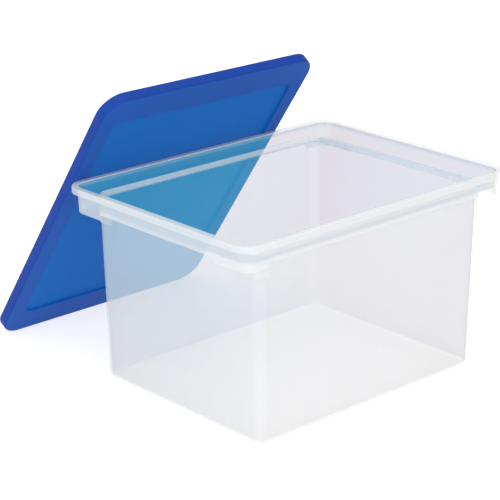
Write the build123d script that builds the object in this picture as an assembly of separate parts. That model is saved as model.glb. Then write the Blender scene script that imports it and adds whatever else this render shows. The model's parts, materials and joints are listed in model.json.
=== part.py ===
from build123d import *
import math
import os

# A two-piece file box: an open tub with rails for hanging folders, and its press-on lid, taken
# off and stood on one end behind the tub. Millimetres, +Z up. The origin is the middle of the
# tub's underside, X runs along the tub's long side and Y along its short side.

# Tub, overall
tub_length = 462.0  # over the lip, along X
tub_width = 347.0  # over the lip, along Y
tub_height = 266.0  # floor to rim
tub_wall = 2.3  # body, ledge and collar

# Body of the tub
body_length = 388.8  # outside, where the ledge leaves the wall
body_width = 308.5
base_length = 380.0  # outside, at the floor: the difference is the draft of the mould
base_width = 299.5
body_corner_radius = 14.0
base_edge_radius = 6.0
floor_thickness = 2.6

# Rim of the tub, all depths from the top of the rim
lip_corner_radius = 28.0
lip_overhang = 7.0  # lip beyond the collar
lip_drop = 8.6  # height of the turned-down face
lip_wall = 2.0
lip_edge_radius = 1.2
collar_taper = 1.4  # the collar's foot stands in from its top by this much
collar_depth = 28.0  # lower edge between the corners
ledge_depth = 23.2  # upper face of the ledge
rail_depth = 14.5  # top of the folder rails

# Corners of the tub
skirt_depth = 35.0  # the collar reaches lower round the corners
skirt_on_long_side = 44.0  # measured from the lip's corner
skirt_on_short_side = 65.0
nest_pitch = 37.5  # rise of an empty tub nested in another: its corner pads land on the rails
pad_rise = 1.4  # pads, out from the body wall
pad_on_short_side = 18.0  # measured from the end of the body's corner

# Lid
lid_wall = 2.2
lid_clearance = 0.8  # inside of the lid's skirt to the lip
lid_skirt = 14.0  # depth over all
lid_flare = 0.4  # the free edge stands out by this much
lid_edge_radius = 3.0
stack_clearance = 1.5  # recess to the base of a tub stacked on the lid
recess_depth = 3.0
recess_bevel = 1.2  # of its mouth
bead_rise = 1.4  # snap bead on the inside of the skirt
bead_height = 2.4
bead_below_lip = 0.4
bead_on_long_side = 120.0
bead_on_short_side = 90.0

# Where the lid stands
lid_foot = 361.0  # Y of the line that it stands on
lid_shift = -38.0  # X of its middle
lean_gap = 0.3  # face of the lid to the rounded edge of the lip

# Heights
ledge_top = tub_height - ledge_depth
rail_top = tub_height - rail_depth
skirt_bottom = tub_height - skirt_depth
collar_bottom = tub_height - collar_depth
pad_bottom = rail_top - nest_pitch


def block(low, high):
    """A solid between two rounded rectangles, each given as length, width, radius and height."""
    ends = []
    for length, width, radius, z in (low, high):
        ends.append(Pos(0, 0, z) * RectangleRounded(length, width, radius))
    return loft(ends, ruled=True)


def body_outline(z, inset=0.0):
    """The drafted body wall's outline at height z, drawn in by inset."""
    share = z / ledge_top
    length = base_length + (body_length - base_length) * share
    width = base_width + (body_width - base_width) * share
    return length - 2 * inset, width - 2 * inset, body_corner_radius - inset, z


def collar_outline(z, inset=0.0):
    """The collar's outline at height z: it tapers from under the lip down to the skirts."""
    inward = lip_overhang + collar_taper * (tub_height - z) / skirt_depth + inset
    return tub_length - 2 * inward, tub_width - 2 * inward, lip_corner_radius - inward, z


def lip_outline(z, inset=0.0):
    """The lip's outline, upright from top to bottom."""
    return tub_length - 2 * inset, tub_width - 2 * inset, lip_corner_radius - inset, z


def ring(outline, low, high, thickness):
    """A wall of the given thickness inside an outline, between two heights."""
    return block(outline(low), outline(high)) - block(outline(low, thickness), outline(high, thickness))


def tub_body():
    """The floor and the four drafted walls, which run up past the ledge as the folder rails."""
    outside = block(body_outline(0), body_outline(rail_top))
    outside = fillet(outside.edges().group_by(Axis.Z)[0], base_edge_radius)
    inside = block(body_outline(floor_thickness, tub_wall), body_outline(rail_top, tub_wall))
    inside = fillet(inside.edges().group_by(Axis.Z)[0], base_edge_radius - tub_wall)
    return outside - inside


def tub_ledge():
    """The flat step from the body wall out to the collar, with the rails standing on it."""
    low = ledge_top - tub_wall
    middle_of_wall = tub_wall / 2
    plate = block(collar_outline(low, middle_of_wall), collar_outline(ledge_top, middle_of_wall))
    return plate - block(body_outline(low, middle_of_wall), body_outline(ledge_top, middle_of_wall))


def tub_collar():
    """The upright wall outside the ledge. Its lower edge is cut back between the four corners."""
    collar = ring(collar_outline, skirt_bottom, tub_height, tub_wall)
    cut_height = collar_bottom - skirt_bottom
    cut_middle = Pos(0, 0, (collar_bottom + skirt_bottom) / 2)
    between_long = tub_length - 2 * skirt_on_long_side
    between_short = tub_width - 2 * skirt_on_short_side
    collar -= cut_middle * Box(between_long, tub_width, cut_height)
    collar -= cut_middle * Box(tub_length, between_short, cut_height)
    return collar


def tub_lip():
    """The rim's top flange and its turned-down face."""
    low = tub_height - lip_drop
    under = tub_height - lip_wall
    face = ring(lip_outline, low, tub_height, lip_wall)
    flange = block(lip_outline(under, lip_wall / 2), lip_outline(tub_height, lip_wall / 2))
    middle_of_collar = tub_wall / 2
    flange -= block(collar_outline(under, middle_of_collar), collar_outline(tub_height, middle_of_collar))
    return face + flange


def corner_pads():
    """Raised bands round the body's corners under the ledge, on which nested tubs rest."""
    top = ledge_top - tub_wall / 2
    outside = block(body_outline(pad_bottom, -pad_rise), body_outline(top, -pad_rise))
    middle_of_wall = tub_wall / 2
    band = outside - block(body_outline(pad_bottom, middle_of_wall), body_outline(top, middle_of_wall))
    cut_height = top - pad_bottom
    cut_middle = Pos(0, 0, (top + pad_bottom) / 2)
    between_long = body_length - 2 * body_corner_radius
    between_short = body_width - 2 * (body_corner_radius + pad_on_short_side)
    band -= cut_middle * Box(between_long, tub_width, cut_height)
    band -= cut_middle * Box(tub_length, between_short, cut_height)
    return band


def make_tub():
    tub = tub_body() + tub_ledge() + tub_collar() + tub_lip() + corner_pads()
    rim_edges = tub.edges().group_by(Axis.Z)[-1]
    return fillet(rim_edges, lip_edge_radius)


# The lid fits over the lip, and its recess takes the base of another tub.
lid_length = tub_length + 2 * (lid_clearance + lid_wall)
lid_width = tub_width + 2 * (lid_clearance + lid_wall)
lid_corner_radius = lip_corner_radius + lid_clearance + lid_wall


def lid_outline(z, inset=0.0):
    """The lid's outline, lying closed with its top at z = 0: it flares towards its free edge."""
    inward = inset + lid_flare * z / lid_skirt
    return lid_length - 2 * inward, lid_width - 2 * inward, lid_corner_radius - inward, z


def recess_outline(z, inset=0.0):
    """The stacking recess: the base of the tub with its clearance."""
    out = stack_clearance - inset
    return base_length + 2 * out, base_width + 2 * out, body_corner_radius + out, z


def snap_beads():
    """A bead along the middle of each side that snaps in under the tub's lip."""
    top = -lid_wall - lip_drop - bead_below_lip
    middle = top - bead_height / 2
    length, width = lid_outline(middle, lid_wall)[:2]
    sunk = bead_rise - bead_height / 2
    on_long_side = Rot(0, 90, 0) * Cylinder(bead_height / 2, bead_on_long_side)
    on_short_side = Rot(90, 0, 0) * Cylinder(bead_height / 2, bead_on_short_side)
    beads = []
    for side in (-1, 1):
        beads.append(Pos(0, side * (width / 2 - sunk), middle) * on_long_side)
        beads.append(Pos(side * (length / 2 - sunk), 0, middle) * on_short_side)
    return beads


def make_flat_lid():
    """The lid as it lies closed, with its top face at z = 0 and its skirt down."""
    shell = block(lid_outline(-lid_skirt), lid_outline(0))
    shell = fillet(shell.edges().group_by(Axis.Z)[-1], lid_edge_radius)
    shell -= block(lid_outline(-lid_skirt, lid_wall), lid_outline(-lid_wall, lid_wall))
    pan_floor = -recess_depth - lid_wall
    shell += block(recess_outline(pan_floor, -lid_wall), recess_outline(-lid_wall / 2, -lid_wall))
    shell -= block(recess_outline(-recess_depth), recess_outline(0))
    shell -= block(recess_outline(-recess_bevel), recess_outline(0, -recess_bevel))
    for bead in snap_beads():
        shell += bead
    return shell


def lean_angle():
    """Lean of the lid's face from upright, between the rounded foot and the rounded lip."""
    back = tub_width / 2 - lip_edge_radius - lid_foot
    up = tub_height - lip_edge_radius - lid_edge_radius
    reach = lip_edge_radius + lean_gap + lid_edge_radius
    return math.atan2(up, back) - math.acos(-reach / math.hypot(back, up))


def make_lid():
    """The lid standing on one short edge and leaning on the tub, its top face towards the tub."""
    on_end = Rot(90, 0, 0) * Rot(0, 0, 90) * make_flat_lid()
    draft = math.atan2(lid_flare, lid_skirt)
    foot_centre = lid_edge_radius * math.tan(math.pi / 4 - draft / 2)
    about_foot = Pos(0, -lid_edge_radius, lid_length / 2 - foot_centre) * on_end
    leaning = Rot(math.degrees(lean_angle()), 0, 0) * about_foot
    return Pos(lid_shift, lid_foot, lid_edge_radius) * leaning


os.makedirs("parts", exist_ok=True)
for name, solid in (("tub", make_tub()), ("lid", make_lid())):
    export_step(solid, f"parts/{name}.step")
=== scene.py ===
import bmesh
import bpy
import json
import math
from mathutils import Matrix, Vector


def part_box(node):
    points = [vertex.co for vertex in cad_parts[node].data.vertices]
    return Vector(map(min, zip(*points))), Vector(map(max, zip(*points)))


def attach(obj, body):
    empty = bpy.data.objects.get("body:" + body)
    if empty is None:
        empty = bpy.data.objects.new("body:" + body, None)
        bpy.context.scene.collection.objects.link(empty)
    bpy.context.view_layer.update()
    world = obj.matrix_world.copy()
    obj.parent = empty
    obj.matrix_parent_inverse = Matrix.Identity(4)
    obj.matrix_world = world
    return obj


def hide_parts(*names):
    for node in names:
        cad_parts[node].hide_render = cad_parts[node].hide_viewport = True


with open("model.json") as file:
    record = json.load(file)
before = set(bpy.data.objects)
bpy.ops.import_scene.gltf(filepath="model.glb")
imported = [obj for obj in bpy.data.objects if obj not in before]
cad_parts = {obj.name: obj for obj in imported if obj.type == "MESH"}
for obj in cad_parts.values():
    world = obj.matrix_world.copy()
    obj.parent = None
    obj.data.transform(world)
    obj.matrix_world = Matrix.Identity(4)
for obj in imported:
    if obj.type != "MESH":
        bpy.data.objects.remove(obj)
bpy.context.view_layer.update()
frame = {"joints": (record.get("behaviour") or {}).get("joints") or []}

# ------------------------------------------------------------------------------ the light table
# A white table and white surround, lit from all round so that the box throws hardly any shadow.
# The box stands straight on the table.

table_size = 14.0
table_white = (0.55, 0.545, 0.54, 1.0)
table_roughness = 0.7
room_white = (1.0, 0.985, 0.965, 1.0)
table_glow = 0.45  # light that comes up through the table's opal top
table_burn = 0.24  # how far the camera overexposes it
room_light = 0.68  # what the surround sends onto the box
room_gloss = 0.25  # what shows of the surround in shiny faces
room_burn = 1.05  # what the camera sees of it
lamps = {
    # name: place, size, power in watts, colour, where it points
    "softbox_front": ((-0.9, -2.6, 1.9), 1.8, 35.0, (1.0, 0.975, 0.94), (0.0, 0.0, 0.1)),
    "softbox_left": ((-2.6, -0.3, 1.5), 1.6, 20.0, (0.86, 0.94, 0.98), (0.0, 0.0, 0.15)),
    "softbox_back": ((2.4, 2.2, 1.5), 1.6, 9.0, (1.0, 0.97, 0.93), (0.0, 0.0, 0.15)),
    "softbox_top": ((0.1, 0.3, 2.6), 2.0, 12.0, (1.0, 1.0, 1.0), (0.0, 0.0, 0.0)),
}

table_mesh = bpy.data.meshes.new("table")
table_edges = bmesh.new()
bmesh.ops.create_grid(table_edges, x_segments=8, y_segments=8, size=table_size / 2)
table_edges.to_mesh(table_mesh)
table_edges.free()
table = bpy.data.objects.new("table", table_mesh)
bpy.context.scene.collection.objects.link(table)

opal = bpy.data.materials.new("opal_table_top")
opal.use_nodes = True
opal_shader = opal.node_tree.nodes["Principled BSDF"]
opal_shader.inputs["Base Color"].default_value = table_white
opal_shader.inputs["Roughness"].default_value = table_roughness
opal_shader.inputs["Emission Color"].default_value = room_white
opal_rays = opal.node_tree.nodes.new("ShaderNodeLightPath")
opal_glow = opal.node_tree.nodes.new("ShaderNodeMapRange")
opal_glow.inputs["To Min"].default_value = table_glow
opal_glow.inputs["To Max"].default_value = table_glow + table_burn
opal.node_tree.links.new(opal_rays.outputs["Is Camera Ray"], opal_glow.inputs["Value"])
opal.node_tree.links.new(opal_glow.outputs["Result"], opal_shader.inputs["Emission Strength"])
table_mesh.materials.append(opal)

surround = bpy.data.worlds.new("white_surround")
surround.use_nodes = True
bpy.context.scene.world = surround
sky = surround.node_tree.nodes["Background"]
sky.inputs["Color"].default_value = room_white
surround_rays = surround.node_tree.nodes.new("ShaderNodeLightPath")
felt = surround.node_tree.nodes.new("ShaderNodeMapRange")
felt.inputs["To Min"].default_value = room_light
felt.inputs["To Max"].default_value = room_gloss
surround.node_tree.links.new(surround_rays.outputs["Is Glossy Ray"], felt.inputs["Value"])
seen = surround.node_tree.nodes.new("ShaderNodeMapRange")
seen.inputs["To Max"].default_value = room_burn
surround.node_tree.links.new(surround_rays.outputs["Is Camera Ray"], seen.inputs["Value"])
surround.node_tree.links.new(felt.outputs["Result"], seen.inputs["To Min"])
surround.node_tree.links.new(seen.outputs["Result"], sky.inputs["Strength"])

for lamp_name, (place, size, power, colour, target) in lamps.items():
    lamp = bpy.data.lights.new(lamp_name, "AREA")
    lamp.shape = "DISK"
    lamp.size = size
    lamp.energy = power
    lamp.color = colour
    lamp_stand = bpy.data.objects.new(lamp_name, lamp)
    lamp_stand.location = place
    lamp_stand.rotation_euler = (Vector(target) - Vector(place)).to_track_quat("-Z", "Y").to_euler()
    bpy.context.scene.collection.objects.link(lamp_stand)

# ----------------------------------------------------------------------------------- the camera
# It looks down on the box from the front left through a long lens.

camera_place = Vector((-1.5353, -1.6298, 0.9577))
camera_azimuth = math.radians(-41.97)
camera_elevation = math.radians(19.455)
camera_roll = math.radians(-0.48)
picture_side = 500  # pixels
focal_pixels = 1833.0

camera_data = bpy.data.cameras.new("camera")
camera_data.sensor_width = 36.0
camera_data.lens = camera_data.sensor_width * focal_pixels / picture_side
camera_data.clip_start = 0.05
camera = bpy.data.objects.new("camera", camera_data)
backwards = Vector((
    math.sin(camera_azimuth) * math.cos(camera_elevation),
    -math.cos(camera_azimuth) * math.cos(camera_elevation),
    math.sin(camera_elevation),
))
sideways = Vector((0, 0, 1)).cross(backwards).normalized()
upwards = backwards.cross(sideways)
level = Matrix((sideways, upwards, backwards)).transposed().to_4x4()
camera.matrix_world = Matrix.Translation(camera_place) @ level @ Matrix.Rotation(camera_roll, 4, "Z")
bpy.context.scene.collection.objects.link(camera)
bpy.context.scene.camera = camera
bpy.context.scene.view_settings.view_transform = "Standard"
bpy.context.scene.cycles.transparent_max_bounces = 48

# -------------------------------------------------------------------------------------- the tub
# One thin-walled injection moulding of clear, lightly frosted polypropylene: floor, drafted
# walls that run up as folder rails, a ledge, an outer collar with skirts round the corners, and a
# turned-down lip. Every edge has the small round that the mould gives it. Sizes in millimetres.

mm_per_metre = 1000
tub_low, tub_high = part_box("tub")
tub_length = (tub_high.x - tub_low.x) * mm_per_metre
tub_width = (tub_high.y - tub_low.y) * mm_per_metre
tub_height = (tub_high.z - tub_low.z) * mm_per_metre
tub_wall = 2.3
floor_thickness = 2.6
ledge_top = tub_height - 23.2
rail_top = tub_height - 14.5
body_at_floor = (380.0, 299.5)
body_at_ledge = (388.8, 308.5)
body_corner = 14.0
base_edge = 6.0
wall_bow = 0.9  # the sides draw in by this as the moulding cools

lip_corner = 28.0
lip_overhang = 7.0
lip_wall = 2.0
lip_bottom = tub_height - 8.6
collar_taper = 1.4 / 35.0  # inward for each millimetre down
collar_bottom = tub_height - 28.0
skirt_drop = 7.0  # how much lower the collar reaches round the corners
skirt_run = {"long": 16.0, "short": 37.0}  # along each side from the end of the corner's round
pad_bottom = rail_top - 37.5
pad_rise = 1.4
pad_run = {"long": 1.0, "short": 18.0}

soft_corner = 1.5  # inner rounds at the ledge
lip_edge = 1.2
lip_fillet = 1.0  # inner rounds under the lip
pad_slope = 0.9  # height of the step from the wall out to a pad
feature_ease = 1.6  # length of the slope at the end of a skirt or pad

# Rows of points up the section and round the box, close enough to draw the walls' bow.
wall_rows = (30.0, 60.0, 90.0, 120.0, 150.0, 180.0)  # heights
highest_row_inside = 215.0  # height
row_below_pads = 6.0
pad_rows = (0.0, 1.2, 12.0)  # above a pad's lower edge
collar_rows = (4.0, 12.0)  # above the collar's lower edge
row_below_rim = 10.0
corner_steps = 12
tub_side_steps = 24
slope_points = (-1.0, -0.35, 0.35, 1.0)  # along a feature's slope, in half its length
least_share = 0.0005  # of a side: points closer to its end than this are left out


def corner_centres(length, width, radius):
    """Centres of the four rounded corners, anticlockwise from +X +Y."""
    across, along = length / 2 - radius, width / 2 - radius
    quarters = ((1, 1), (-1, 1), (-1, -1), (1, -1))
    return [Vector((across * right, along * back)) for right, back in quarters]


def stations_round(breaks, pieces_per_side):
    """Places round a rounded rectangle: corner number, turn of the corner, share of the next side.

    breaks gives, for long and short sides, the shares where a feature starts, so that points lie
    close on both sides of it."""
    places = []
    for corner in range(4):
        side = "long" if corner % 2 == 0 else "short"
        places += [(corner, step / corner_steps, 0.0) for step in range(corner_steps + 1)]
        shares = {step / pieces_per_side for step in range(1, pieces_per_side)}
        for share, spread in breaks[side]:
            for offset in slope_points:
                shares.add(share + offset * spread)
                shares.add(1 - share - offset * spread)
        kept = [share for share in sorted(shares) if least_share < share < 1 - least_share]
        places += [(corner, 1.0, share) for share in kept]
    return places


def place_on(outline, station):
    """Point of an outline (length, width, corner radius) at a station."""
    corner, turn, share = station
    centres = corner_centres(*outline)
    centre = centres[corner].lerp(centres[(corner + 1) % 4], share)
    angle = math.pi / 2 * (corner + turn)
    return centre + outline[2] * Vector((math.cos(angle), math.sin(angle)))


def near_corner(station, outline, run, ease=feature_ease):
    """1 round the corners and for a run along the sides, 0 along the middle of the sides."""
    corner, turn, share = station
    side = "long" if corner % 2 == 0 else "short"
    straight = (outline[0] if side == "long" else outline[1]) - 2 * outline[2]
    distance = min(share, 1 - share) * straight
    ramp = min(max((run[side] + ease / 2 - distance) / ease, 0.0), 1.0)
    return ramp * ramp * (3 - 2 * ramp)


def round_over(inset, height, radius, start, end, steps):
    """Points of a rounded edge: 0 degrees points outwards, 90 points up."""
    points = []
    for step in range(steps + 1):
        angle = math.radians(start + (end - start) * step / steps)
        points.append((inset - radius * math.cos(angle), height + radius * math.sin(angle)))
    return points


def body_outline(height, inset):
    """Length, width and corner radius of the drafted body at a height."""
    share = height / ledge_top
    length = body_at_floor[0] + (body_at_ledge[0] - body_at_floor[0]) * share
    width = body_at_floor[1] + (body_at_ledge[1] - body_at_floor[1]) * share
    return length - 2 * inset, width - 2 * inset, body_corner - inset


def collar_outline(height, inset):
    """As body_outline, for the tapered collar."""
    inward = lip_overhang + collar_taper * (tub_height - height) + inset
    return tub_length - 2 * inward, tub_width - 2 * inward, lip_corner - inward


def lip_outline(height, inset):
    """As body_outline, for the lip, which is upright."""
    return tub_length - 2 * inset, tub_width - 2 * inset, lip_corner - inset


def body_ring(station, inset, height):
    """A point of the body wall, with the bow of its sides."""
    corner, turn, share = station
    bow = wall_bow * math.sin(math.pi * share) * math.sin(math.pi * min(height / ledge_top, 1.0))
    angle = math.pi / 2 * (corner + turn)
    inwards = Vector((-math.cos(angle), -math.sin(angle)))
    place = place_on(body_outline(height, inset), station) + bow * inwards
    return place.x, place.y, height


def pad_ring(station, inset, height):
    """As body_ring, standing out where the corner pads are."""
    raised = pad_rise * near_corner(station, body_outline(height, 0), pad_run)
    return body_ring(station, inset - raised, height)


def collar_ring(station, inset, height):
    """A point of the collar."""
    place = place_on(collar_outline(height, inset), station)
    return place.x, place.y, height


def skirt_ring(station, inset, height):
    """As collar_ring, but lower round the corners."""
    lowered = height - skirt_drop * near_corner(station, lip_outline(height, 0), skirt_run)
    return collar_ring(station, inset, lowered)


def lip_ring(station, inset, height):
    """A point of the lip."""
    place = place_on(lip_outline(height, inset), station)
    return place.x, place.y, height


# The finishes: frosted outside, polished inside with a cyan haze that is painted light (the lid's
# blue light seen through the walls), milky inner face of the rails with a whiter haze that is partly
# painted light (a bright band along the ledge), the free edges and the edge of the base, the thick
# places (corner pads, collar and lip), and the thin light inner faces of the skirts and the lip.
frosted, polished, milky, edge, thick, thin = range(6)


def on_pads(station):
    """The finish at the pads' height: thick where a pad stands on the wall."""
    return thick if near_corner(station, body_outline(pad_bottom, 0), pad_run) > 0.5 else frosted


def tub_section():
    """The wall's section from under the floor, over the rim and down to the inside of the floor."""
    half_wall = tub_wall / 2
    inner_edge = base_edge - tub_wall
    ledge_under = ledge_top - tub_wall
    lip_under = tub_height - lip_wall
    rows = []

    def add(ring, finish, points):
        rows.extend((ring, finish, inset, height) for inset, height in points)

    add(body_ring, frosted, round_over(base_edge, base_edge, base_edge, -90, -60, 2))
    add(body_ring, edge, round_over(base_edge, base_edge, base_edge, -45, -30, 1))
    add(body_ring, frosted, round_over(base_edge, base_edge, base_edge, -15, 0, 1))
    add(body_ring, frosted, [(0, height) for height in wall_rows])
    add(body_ring, frosted, [(0, pad_bottom - row_below_pads), (0, pad_bottom - pad_slope)])
    add(pad_ring, on_pads, [(0, pad_bottom + above) for above in pad_rows])
    add(pad_ring, on_pads, round_over(-soft_corner, ledge_under - soft_corner, soft_corner, 180, 90, 3))
    into_collar = round_over(tub_wall + soft_corner, ledge_under - soft_corner, soft_corner, 90, 20, 3)
    add(collar_ring, frosted, into_collar)

    add(skirt_ring, thin, [(tub_wall, collar_bottom + half_wall)])
    add(skirt_ring, edge, round_over(half_wall, collar_bottom + half_wall, half_wall, 210, 360, 5))
    add(collar_ring, thick, [(0, collar_bottom + above) for above in collar_rows])
    add(collar_ring, thick, [(0, lip_under - lip_fillet)])
    add(collar_ring, thin, round_over(-lip_fillet, lip_under - lip_fillet, lip_fillet, 150, 90, 2))

    add(lip_ring, thin, round_over(lip_wall + lip_fillet, lip_under - lip_fillet, lip_fillet, 90, 0, 3))
    add(lip_ring, thin, [(lip_wall, lip_bottom + lip_wall / 2)])
    add(lip_ring, edge, round_over(lip_wall / 2, lip_bottom + lip_wall / 2, lip_wall / 2, 210, 360, 5))
    add(lip_ring, thick, [(0, tub_height - lip_edge)])
    add(lip_ring, edge, round_over(lip_edge, tub_height - lip_edge, lip_edge, 22, 90, 3))
    add(collar_ring, thick, [(tub_wall - lip_edge, tub_height)])
    add(collar_ring, edge, round_over(tub_wall - lip_edge, tub_height - lip_edge, lip_edge, 112, 180, 3))

    onto_ledge = ledge_top + soft_corner
    add(collar_ring, polished, [(tub_wall, tub_height - row_below_rim), (tub_wall, onto_ledge)])
    add(collar_ring, polished, round_over(tub_wall + soft_corner, onto_ledge, soft_corner, -22, -90, 3))
    add(body_ring, polished, round_over(-soft_corner, onto_ledge, soft_corner, -90, -180, 4))
    add(body_ring, frosted, [(0, rail_top - half_wall)])
    add(body_ring, edge, round_over(half_wall, rail_top - half_wall, half_wall, 30, 180, 5))
    add(body_ring, milky, [(tub_wall, onto_ledge)])
    add(body_ring, polished, [(tub_wall, highest_row_inside)])
    add(body_ring, polished, [(tub_wall, height) for height in reversed(wall_rows)])
    add(body_ring, polished, round_over(base_edge, floor_thickness + inner_edge, inner_edge, 0, -54, 3))
    add(body_ring, frosted, round_over(base_edge, floor_thickness + inner_edge, inner_edge, -72, -90, 1))
    return rows


def sweep(name, rows, stations):
    """A closed shell: the rows of a section carried round the stations, with both ends closed.

    The faces between two rows take the finish of the later one."""
    shell = bmesh.new()
    loops = []
    for ring, _, inset, height in rows:
        points = [Vector(ring(station, inset, height)) / mm_per_metre for station in stations]
        loops.append([shell.verts.new(point) for point in points])
    count = len(stations)
    for row in range(1, len(rows)):
        lower, upper = loops[row - 1], loops[row]
        for index in range(count):
            following = (index + 1) % count
            face = shell.faces.new((lower[index], lower[following], upper[following], upper[index]))
            finish = rows[row][1]
            face.material_index = finish(stations[index]) if callable(finish) else finish
    shell.faces.new(list(reversed(loops[0]))).material_index = rows[0][1]
    shell.faces.new(loops[-1]).material_index = rows[-1][1]
    bmesh.ops.recalc_face_normals(shell, faces=shell.faces)
    for face in shell.faces:
        face.smooth = True
    mesh = bpy.data.meshes.new(name)
    shell.to_mesh(mesh)
    shell.free()
    piece = bpy.data.objects.new(name, mesh)
    bpy.context.scene.collection.objects.link(piece)
    flats_first = piece.modifiers.new("flat_faces_stay_flat", "WEIGHTED_NORMAL")
    flats_first.keep_sharp = False
    return piece


def breaks_at(outline, run):
    """Shares of the long and short side where a feature ends and that half its slope takes up."""
    found = {}
    for side, size in (("long", outline[0]), ("short", outline[1])):
        straight = size - 2 * outline[2]
        found[side] = [(run[side] / straight, feature_ease / 2 / straight)]
    return found


skirt_breaks = breaks_at(lip_outline(0, 0), skirt_run)
pad_breaks = breaks_at(body_outline(pad_bottom, 0), pad_run)
tub_breaks = {side: skirt_breaks[side] + pad_breaks[side] for side in ("long", "short")}
tub_shell = sweep("tub_shell", tub_section(), stations_round(tub_breaks, tub_side_steps))

ripple_height = 14.0  # against a stipple of 1
draw_mark_share = 0.35  # of the clouding


def moulded_skin_group():
    """What a mould leaves on plastic: stipple, ripples and clouding with upright draw marks.

    Use adds fine scuffs in patches."""
    group = bpy.data.node_groups.new("moulded_skin", "ShaderNodeTree")
    group.interface.new_socket("Stipple Scale", in_out="INPUT", socket_type="NodeSocketFloat")
    for output in ("Relief", "Cloud", "Scuffs"):
        group.interface.new_socket(output, in_out="OUTPUT", socket_type="NodeSocketFloat")
    nodes, links = group.nodes, group.links
    inside = nodes.new("NodeGroupInput")
    outside = nodes.new("NodeGroupOutput")
    place = nodes.new("ShaderNodeTexCoord").outputs["Object"]

    stipple = nodes.new("ShaderNodeTexNoise")
    stipple.inputs["Detail"].default_value = 2.0
    links.new(place, stipple.inputs["Vector"])
    links.new(inside.outputs["Stipple Scale"], stipple.inputs["Scale"])
    ripple = nodes.new("ShaderNodeTexNoise")
    ripple.inputs["Scale"].default_value = 9.0
    ripple.inputs["Detail"].default_value = 1.0
    links.new(place, ripple.inputs["Vector"])
    relief = nodes.new("ShaderNodeMath")
    relief.operation = "MULTIPLY_ADD"
    relief.inputs[1].default_value = ripple_height
    links.new(ripple.outputs["Fac"], relief.inputs[0])
    links.new(stipple.outputs["Fac"], relief.inputs[2])
    links.new(relief.outputs[0], outside.inputs["Relief"])

    cloud = nodes.new("ShaderNodeTexNoise")
    cloud.inputs["Scale"].default_value = 5.0
    cloud.inputs["Detail"].default_value = 4.0
    cloud.inputs["Roughness"].default_value = 0.6
    links.new(place, cloud.inputs["Vector"])
    upright = nodes.new("ShaderNodeMapping")
    upright.inputs["Scale"].default_value = (75.0, 75.0, 2.0)
    links.new(place, upright.inputs["Vector"])
    draw_marks = nodes.new("ShaderNodeTexNoise")
    draw_marks.inputs["Scale"].default_value = 1.0
    draw_marks.inputs["Detail"].default_value = 2.0
    links.new(upright.outputs["Vector"], draw_marks.inputs["Vector"])
    clouding = nodes.new("ShaderNodeMix")
    clouding.inputs["Factor"].default_value = draw_mark_share
    links.new(cloud.outputs["Fac"], clouding.inputs["A"])
    links.new(draw_marks.outputs["Fac"], clouding.inputs["B"])
    links.new(clouding.outputs["Result"], outside.inputs["Cloud"])

    drawn_out = nodes.new("ShaderNodeMapping")
    drawn_out.inputs["Rotation"].default_value = (0.5, 0.35, 0.6)
    drawn_out.inputs["Scale"].default_value = (14.0, 190.0, 26.0)
    links.new(place, drawn_out.inputs["Vector"])
    scratches = nodes.new("ShaderNodeTexNoise")
    scratches.inputs["Scale"].default_value = 1.0
    scratches.inputs["Detail"].default_value = 3.0
    links.new(drawn_out.outputs["Vector"], scratches.inputs["Vector"])
    thin_lines = nodes.new("ShaderNodeValToRGB")
    stops = thin_lines.color_ramp.elements
    stops[-1].color = (0.0, 0.0, 0.0, 1.0)
    for position, value in ((0.505, 0.0), (0.515, 1.0), (0.525, 0.0)):
        stops.new(position).color = (value, value, value, 1.0)
    links.new(scratches.outputs["Fac"], thin_lines.inputs["Fac"])
    patches = nodes.new("ShaderNodeMapRange")
    patches.inputs["From Min"].default_value = 0.5
    patches.inputs["From Max"].default_value = 0.68
    links.new(cloud.outputs["Fac"], patches.inputs["Value"])
    in_patches = nodes.new("ShaderNodeMath")
    in_patches.operation = "MULTIPLY"
    links.new(thin_lines.outputs["Color"], in_patches.inputs[0])
    links.new(patches.outputs["Result"], in_patches.inputs[1])
    links.new(in_patches.outputs[0], outside.inputs["Scuffs"])
    return group


moulded_skin = moulded_skin_group()
stipple_depth = 0.00006  # metres
polypropylene_ior = 1.49


def add_skin(material, stipple_scale):
    """Places the moulded skin in a material and gives its node."""
    skin = material.node_tree.nodes.new("ShaderNodeGroup")
    skin.node_tree = moulded_skin
    skin.inputs["Stipple Scale"].default_value = stipple_scale
    return skin


def add_math(material, operation, first, second):
    """A Math node. Each input is a number or a socket."""
    node = material.node_tree.nodes.new("ShaderNodeMath")
    node.operation = operation
    for socket, value in zip(node.inputs, (first, second)):
        if isinstance(value, (int, float)):
            socket.default_value = value
        else:
            material.node_tree.links.new(value, socket)
    return node.outputs[0]


clear_stipple = 1100.0
clear_bump = 0.35
clear_roughness = (0.26, 0.44)
least_square = 0.05  # below this the path through the wall grows no longer
path_growth = -0.2  # power of the squareness that the path follows
lamp_light_spared = 0.6  # the haze sends this share of the lamps' light on forwards
# Painted shade: at glancing angles what would pass is cut towards painted_edge_shade and not given back as
# reflection; glance sets how fast.
glance = 5.0  # power of the slant at which light is thrown off the surface
painted_edge_shade = (0.1, 0.1, 0.1, 1.0)  # of what would pass, where the surface turns away


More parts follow.
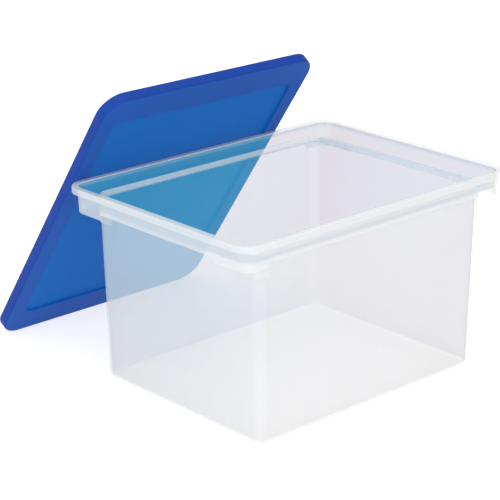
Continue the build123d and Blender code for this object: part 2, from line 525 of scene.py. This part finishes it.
def clear_polypropylene(name, lighter, darker, clear_share, passing_tint):
    """Clear plastic with a haze that thickens with the length of the path through the wall.

    clear_share passes straight through where the wall is met square on. The haze scatters blue
    light more than red, so what passes is warmer. Little passes at a glancing angle, and what is held
    back there is not given back as a reflection, so the darkening is painted shade along the edges that
    turn away. Only the faces towards the eye count."""
    material = bpy.data.materials.new(name)
    material.use_nodes = True
    nodes, links = material.node_tree.nodes, material.node_tree.links
    haze = nodes["Principled BSDF"]
    skin = add_skin(material, clear_stipple)

    tint = nodes.new("ShaderNodeMix")
    tint.data_type = "RGBA"
    tint.inputs["A"].default_value = darker
    tint.inputs["B"].default_value = lighter
    links.new(skin.outputs["Cloud"], tint.inputs["Factor"])
    links.new(tint.outputs["Result"], haze.inputs["Base Color"])

    roughness = nodes.new("ShaderNodeMapRange")
    roughness.inputs["To Min"].default_value = clear_roughness[0]
    roughness.inputs["To Max"].default_value = clear_roughness[1]
    links.new(skin.outputs["Cloud"], roughness.inputs["Value"])
    links.new(roughness.outputs["Result"], haze.inputs["Roughness"])
    bump = nodes.new("ShaderNodeBump")
    bump.inputs["Strength"].default_value = clear_bump
    bump.inputs["Distance"].default_value = stipple_depth
    links.new(skin.outputs["Relief"], bump.inputs["Height"])
    links.new(bump.outputs["Normal"], haze.inputs["Normal"])
    haze.inputs["IOR"].default_value = polypropylene_ior

    facing = nodes.new("ShaderNodeLayerWeight")
    facing.inputs["Blend"].default_value = 0.5
    squareness = add_math(material, "SUBTRACT", 1.0, facing.outputs["Facing"])
    path = add_math(material, "POWER", add_math(material, "MAXIMUM", squareness, least_square), path_growth)
    passed = add_math(material, "POWER", clear_share, path)
    hazed = add_math(material, "SUBTRACT", 1.0, passed)
    geometry = nodes.new("ShaderNodeNewGeometry")
    near_side = add_math(material, "SUBTRACT", 1.0, geometry.outputs["Backfacing"])
    rays = nodes.new("ShaderNodeLightPath")
    spared = add_math(material, "MULTIPLY", rays.outputs["Is Shadow Ray"], lamp_light_spared)
    held = add_math(material, "MULTIPLY", hazed, add_math(material, "SUBTRACT", 1.0, spared))

    passing_colour = nodes.new("ShaderNodeMix")
    passing_colour.data_type = "RGBA"
    passing_colour.inputs["A"].default_value = (1.0, 1.0, 1.0, 1.0)
    passing_colour.inputs["B"].default_value = passing_tint
    warmed = add_math(material, "DIVIDE", hazed, passed)
    links.new(add_math(material, "MULTIPLY", near_side, warmed), passing_colour.inputs["Factor"])
    # Painted edge shade along the faces that turn away.
    slanted = add_math(material, "POWER", facing.outputs["Facing"], glance)
    edge_shaded = nodes.new("ShaderNodeMix")
    edge_shaded.data_type = "RGBA"
    edge_shaded.inputs["B"].default_value = painted_edge_shade
    links.new(passing_colour.outputs["Result"], edge_shaded.inputs["A"])
    links.new(add_math(material, "MULTIPLY", near_side, slanted), edge_shaded.inputs["Factor"])
    passing = nodes.new("ShaderNodeBsdfTransparent")
    links.new(edge_shaded.outputs["Result"], passing.inputs["Color"])

    wall = nodes.new("ShaderNodeMixShader")
    links.new(add_math(material, "MULTIPLY", held, near_side), wall.inputs["Fac"])
    links.new(passing.outputs["BSDF"], wall.inputs[1])
    links.new(haze.outputs["BSDF"], wall.inputs[2])
    links.new(wall.outputs["Shader"], nodes["Material Output"].inputs["Surface"])
    return material


frosted_outside = clear_polypropylene(
    "frosted_outside",
    lighter=(0.82, 0.90, 0.99, 1.0),
    darker=(0.75, 0.83, 0.93, 1.0),
    clear_share=0.61,
    passing_tint=(1.0, 0.94, 0.87, 1.0),
)
# Painted light: the strong cyan of this haze stands in for the lid's blue light seen through the far walls,
# and the warm passing tint offsets it over white.
polished_inside_painted_glow = clear_polypropylene(
    "polished_inside_painted_glow",
    lighter=(0.08, 0.64, 0.99, 1.0),
    darker=(0.05, 0.57, 0.94, 1.0),
    clear_share=0.61,
    passing_tint=(1.0, 0.66, 0.53, 1.0),
)
# Partly painted light: the whiter, denser haze of the rails' inner faces paints a bright band of light
# along the ledge.
milky_rails_painted_band = clear_polypropylene(
    "milky_rails_painted_band",
    lighter=(0.84, 1.0, 1.0, 1.0),
    darker=(0.78, 0.95, 0.98, 1.0),
    clear_share=0.55,
    passing_tint=(1.0, 0.92, 0.93, 1.0),
)
dense_edge = clear_polypropylene(
    "dense_edge",
    lighter=(0.84, 0.95, 1.0, 1.0),
    darker=(0.76, 0.87, 0.93, 1.0),
    clear_share=0.50,
    passing_tint=(1.0, 0.93, 0.86, 1.0),
)
thick_places = clear_polypropylene(
    "thick_places",
    lighter=(0.82, 0.87, 0.92, 1.0),
    darker=(0.77, 0.82, 0.88, 1.0),
    clear_share=0.48,
    passing_tint=(0.93, 0.90, 0.87, 1.0),
)
thin_inner = clear_polypropylene(
    "thin_inner",
    lighter=(0.84, 1.0, 1.0, 1.0),
    darker=(0.78, 0.95, 0.98, 1.0),
    clear_share=0.70,
    passing_tint=(1.0, 0.90, 0.86, 1.0),
)
for finish in (frosted_outside, polished_inside_painted_glow, milky_rails_painted_band, dense_edge, thick_places, thin_inner):
    tub_shell.data.materials.append(finish)
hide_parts("tub")
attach(tub_shell, "tub")

# -------------------------------------------------------------------------------------- the lid
# One injection moulding of opaque blue polypropylene: a flat top with a shallow recess that takes
# the base of another box, and a short skirt with snap beads inside. It stands on one short edge
# and leans on the tub. It is drawn lying closed, top face at 0, and then stood in its place.

lid_low, lid_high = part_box("lid")
lid_clearance = 0.8
lid_wall = 2.2
lid_over = 2 * (lid_clearance + lid_wall)
lid_at_top = (tub_length + lid_over, tub_width + lid_over, lip_corner + lid_over / 2)
lid_skirt = 14.0
lid_flare = 0.4 / lid_skirt  # outward for each millimetre down
crown_edge = 3.0
recess_depth = 3.0
recess_clearance = 1.5
recess_bevel = 1.2

bead_rise = 1.4
bead_middle = -12.4  # height
bead_tip = 0.4  # half the height of its blunt tip
bead_lead_in = 0.8  # from its middle down to the plain skirt
bead_catch = 1.2  # from its middle up to the plain skirt
bead_ease = 3.0  # length of the slope at its ends
bead_length = {"long": 120.0, "short": 90.0}
# Plain skirt from the end of a corner's round to the bead.
bead_ends = {
    side: (size - 2 * lid_at_top[2] - bead_length[side]) / 2
    for side, size in (("long", lid_at_top[0]), ("short", lid_at_top[1]))
}

free_edge = 0.7  # both rounds of the skirt's edge
pan_fillet = 1.0  # rounds of the recess floor, above and underneath
crown_fillet = 1.5  # inner round, where the skirt meets the top
row_on_border = 14.0  # inward of the crown's round
lid_side_steps = 20


def lid_outline(height, inset):
    """As body_outline, for the lid's flared skirt."""
    inward = inset + lid_flare * height
    return lid_at_top[0] - 2 * inward, lid_at_top[1] - 2 * inward, lid_at_top[2] - inward


def recess_outline(height, inset):
    """As body_outline, for the upright sides of the recess."""
    outward = recess_clearance - inset
    length, width = body_at_floor
    return length + 2 * outward, width + 2 * outward, body_corner + outward


def lid_ring(station, inset, height):
    """A point of the skirt."""
    place = place_on(lid_outline(height, inset), station)
    return place.x, place.y, height


def recess_ring(station, inset, height):
    """A point of the recess."""
    place = place_on(recess_outline(height, inset), station)
    return place.x, place.y, height


def bead_ring(station, inset, height):
    """As lid_ring, with the snap bead along the middle of each side."""
    beaded = 1 - near_corner(station, lid_at_top, bead_ends, bead_ease)
    return lid_ring(station, inset + bead_rise * beaded, height)


# Painted light and shade: the lid is one blue, given as a lighter copy in the recess and a darker copy down
# the skirt.
panel, border, shaded_flank = range(3)  # the lid's finishes: in the recess, round it, down the skirt


def lid_section():
    """The section from the recess floor out over the crown, round the skirt and back underneath."""
    rows = []

    def add(ring, points, finish=border):
        rows.extend((ring, finish, inset, height) for inset, height in points)

    add(recess_ring, round_over(pan_fillet, pan_fillet - recess_depth, pan_fillet, -90, 0, 3), panel)
    add(recess_ring, round_over(-recess_bevel, -recess_bevel, recess_bevel, 180, 90, 4))
    add(lid_ring, [(crown_edge + row_on_border, 0)])
    add(lid_ring, round_over(crown_edge, -crown_edge, crown_edge, 90, 60, 2))
    add(lid_ring, round_over(crown_edge, -crown_edge, crown_edge, 45, 0, 3), shaded_flank)
    add(lid_ring, round_over(free_edge, free_edge - lid_skirt, free_edge, 0, -90, 3), shaded_flank)

    add(lid_ring, round_over(lid_wall - free_edge, free_edge - lid_skirt, free_edge, -90, -180, 3))
    add(lid_ring, [(lid_wall, bead_middle - bead_lead_in)])
    add(bead_ring, [(lid_wall, bead_middle - bead_tip), (lid_wall, bead_middle + bead_tip)])
    add(lid_ring, [(lid_wall, bead_middle + bead_catch)])
    add(lid_ring, round_over(lid_wall + crown_fillet, -lid_wall - crown_fillet, crown_fillet, 0, 90, 4))

    pan_under = -recess_depth - lid_wall
    add(recess_ring, round_over(-lid_wall - pan_fillet, -lid_wall - pan_fillet, pan_fillet, 90, 180, 3))
    add(recess_ring, round_over(-lid_wall + pan_fillet, pan_under + pan_fillet, pan_fillet, 0, -90, 3))
    return rows


lid_breaks = breaks_at(lid_at_top, bead_ends)
lid_shell = sweep("lid_shell", lid_section(), stations_round(lid_breaks, lid_side_steps))

# The lid's joint ends with the lid lying flat, so its range gives the lean at rest.
lean = math.radians(frame["joints"][0]["range_deg"][1] - 90)
stood_up = Matrix.Rotation(math.radians(90), 4, "X") @ Matrix.Rotation(math.radians(90), 4, "Z")
lid_shell.data.transform(Matrix.Rotation(lean, 4, "X") @ stood_up)
corners = [vertex.co for vertex in lid_shell.data.vertices]
shell_middle = Vector([
    (min(corner[axis] for corner in corners) + max(corner[axis] for corner in corners)) / 2
    for axis in range(3)
])
lid_shell.data.transform(Matrix.Translation((lid_low + lid_high) / 2 - shell_middle))

blue_stipple = 1500.0
blue_bump = 0.4
blue_specular = 0.10
roughness_spread = 0.08
rubbed_blue = (0.10, 0.24, 0.56, 1.0)
scuff_strength = 0.25  # how far a scuff takes the pigment to rubbed_blue


def blue_polypropylene(name, lighter, darker, rougher):
    """Pigmented plastic with a satin skin: slightly uneven colour, fine stipple and light scuffs."""
    material = bpy.data.materials.new(name)
    material.use_nodes = True
    nodes, links = material.node_tree.nodes, material.node_tree.links
    shader = nodes["Principled BSDF"]
    skin = add_skin(material, blue_stipple)

    pigment = nodes.new("ShaderNodeMix")
    pigment.data_type = "RGBA"
    pigment.inputs["A"].default_value = darker
    pigment.inputs["B"].default_value = lighter
    links.new(skin.outputs["Cloud"], pigment.inputs["Factor"])
    rubbed = nodes.new("ShaderNodeMix")
    rubbed.data_type = "RGBA"
    rubbed.inputs["B"].default_value = rubbed_blue
    links.new(pigment.outputs["Result"], rubbed.inputs["A"])
    scuffed = add_math(material, "MULTIPLY", skin.outputs["Scuffs"], scuff_strength)
    links.new(scuffed, rubbed.inputs["Factor"])
    links.new(rubbed.outputs["Result"], shader.inputs["Base Color"])

    roughness = nodes.new("ShaderNodeMapRange")
    roughness.inputs["To Min"].default_value = rougher - roughness_spread
    roughness.inputs["To Max"].default_value = rougher + roughness_spread
    links.new(skin.outputs["Cloud"], roughness.inputs["Value"])
    links.new(roughness.outputs["Result"], shader.inputs["Roughness"])
    bump = nodes.new("ShaderNodeBump")
    bump.inputs["Strength"].default_value = blue_bump
    bump.inputs["Distance"].default_value = stipple_depth
    links.new(skin.outputs["Relief"], bump.inputs["Height"])
    links.new(bump.outputs["Normal"], shader.inputs["Normal"])
    shader.inputs["IOR"].default_value = polypropylene_ior
    shader.inputs["Specular IOR Level"].default_value = blue_specular
    return material


# Lit and shaded copies of the one blue: the panel is painted lighter, the skirt is painted darker as shade,
# and the border lies between.
blue_panel_lit_copy = blue_polypropylene(
    "blue_panel_lit_copy",
    lighter=(0.002, 0.160, 0.575, 1.0),
    darker=(0.001, 0.129, 0.505, 1.0),
    rougher=0.50,
)
blue_side_shaded_copy = blue_polypropylene(
    "blue_side_shaded_copy",
    lighter=(0.013, 0.062, 0.370, 1.0),
    darker=(0.010, 0.050, 0.320, 1.0),
    rougher=0.42,
)
blue_border = blue_polypropylene(
    "blue_border",
    lighter=(0.011, 0.106, 0.480, 1.0),
    darker=(0.008, 0.088, 0.420, 1.0),
    rougher=0.42,
)
for finish in (blue_panel_lit_copy, blue_border, blue_side_shaded_copy):
    lid_shell.data.materials.append(finish)
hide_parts("lid")
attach(lid_shell, "lid")
